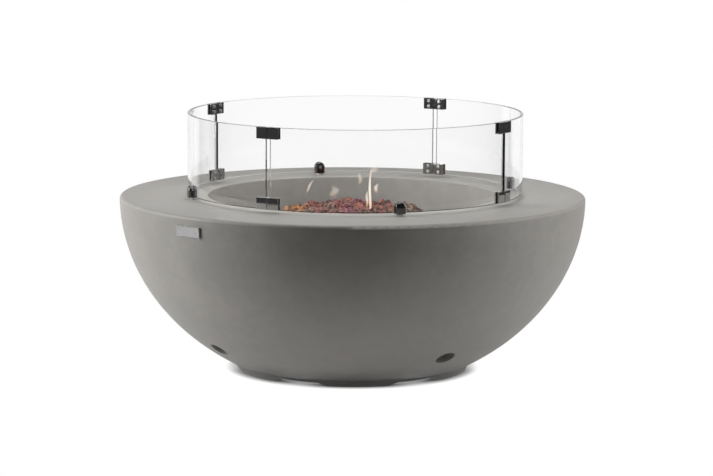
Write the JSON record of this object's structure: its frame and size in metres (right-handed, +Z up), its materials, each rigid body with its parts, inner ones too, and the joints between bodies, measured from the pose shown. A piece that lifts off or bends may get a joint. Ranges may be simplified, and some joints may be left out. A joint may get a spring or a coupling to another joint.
{
  "type": "fire pit table",
  "caption": "Round concrete bowl fire pit table with a gas burner under lava rock and a lift-off wind screen of curved glass panels on the rim.",
  "frame": {"origin": "on the floor under the centre of the bowl", "axes": "+Z up; -Y is the front, the side that the picture shows; the gas control is at +Y"},
  "size_m": [1.0663, 1.0664, 0.59],
  "materials": {
    "concrete": "smooth matt cast concrete",
    "clear_glass": "clear tempered glass",
    "black_rubber": "matt",
    "clear_pad": "clear",
    "polished_steel": "mirror polished",
    "lava_rock": "rough porous",
    "brass": "machined",
    "ceramic_white": "glazed",
    "black_plastic": "fine satin",
    "wire_sleeve": "silicone sleeve",
    "plate_steel": "brushed, bright bevel",
    "brushed_stainless": "brushed"
  },
  "bodies": {
    "root": {"base_feet": "concrete", "basin_floor": "concrete", "basin_wall": "concrete", "bowl_rim": "concrete", "bowl_shell": "concrete", "burner_elbow": "brass", "burner_pan": "brushed_stainless", "burner_ring": "brushed_stainless", "burner_stem": "brushed_stainless", "control_panel": "brushed_stainless", "electrode": "ceramic_white", "electrode_rod": "brushed_stainless", "gas_tube": "brushed_stainless", "igniter_housing": "black_plastic", "igniter_nut": "black_plastic", "ignition_wire": "wire_sleeve", "lava_bed": "lava_rock", "lava_rocks": "lava_rock", "name_plate": "plate_steel", "pan_screws": "brushed_stainless", "panel_screws": "brushed_stainless", "stem_nuts": "brushed_stainless", "thermocouple": "brushed_stainless", "thermocouple_lead": "brushed_stainless", "tube_nuts": "brass", "valve_body": "brass", "valve_nut": "brass"},
    "valve_plunger": {"push_collar": "brushed_stainless"},
    "knob": {"valve_stem": "brushed_stainless", "control_knob": "black_plastic"},
    "igniter_push": {"igniter_button": "black_plastic"},
    "wind_screen": {"clamp_gaskets": "black_rubber", "clamp_inner_lower_1": "polished_steel", "clamp_inner_lower_2": "polished_steel", "clamp_inner_lower_3": "polished_steel", "clamp_inner_lower_4": "polished_steel", "clamp_inner_upper_1": "polished_steel", "clamp_inner_upper_2": "polished_steel", "clamp_inner_upper_3": "polished_steel", "clamp_inner_upper_4": "polished_steel", "clamp_outer_lower_1": "polished_steel", "clamp_outer_lower_2": "polished_steel", "clamp_outer_lower_3": "polished_steel", "clamp_outer_lower_4": "polished_steel", "clamp_outer_upper_1": "polished_steel", "clamp_outer_upper_2": "polished_steel", "clamp_outer_upper_3": "polished_steel", "clamp_outer_upper_4": "polished_steel", "clamp_screws": "polished_steel", "foot_liners": "black_rubber", "foot_pads": "clear_pad", "foot_screws": "polished_steel", "glass_panel_1": "clear_glass", "glass_panel_2": "clear_glass", "glass_panel_3": "clear_glass", "glass_panel_4": "clear_glass", "screen_foot_1": "polished_steel", "screen_foot_2": "polished_steel", "screen_foot_3": "polished_steel", "screen_foot_4": "polished_steel"}
  },
  "joints": [
    {"name": "screen_lift", "type": "slide", "parent": "root", "child": "wind_screen", "axis": [0, 0, 1], "range_m": [0, 0.25]},
    {"name": "knob_push", "type": "slide", "parent": "root", "child": "valve_plunger", "axis": [0, -0.957, 0.29], "range_m": [0, 0.004], "stiffness_N_per_m": 800, "springref_m": -0.002},
    {"name": "knob_turn", "type": "hinge", "parent": "valve_plunger", "child": "knob", "pos_m": [0.028, 0.517, 0.29], "axis": [0, 0.957, -0.29], "range_deg": [0, 180]},
    {"name": "igniter_press", "type": "slide", "parent": "root", "child": "igniter_push", "axis": [0, -0.957, 0.29], "range_m": [0, 0.004], "stiffness_N_per_m": 500, "springref_m": -0.002}
  ]
}
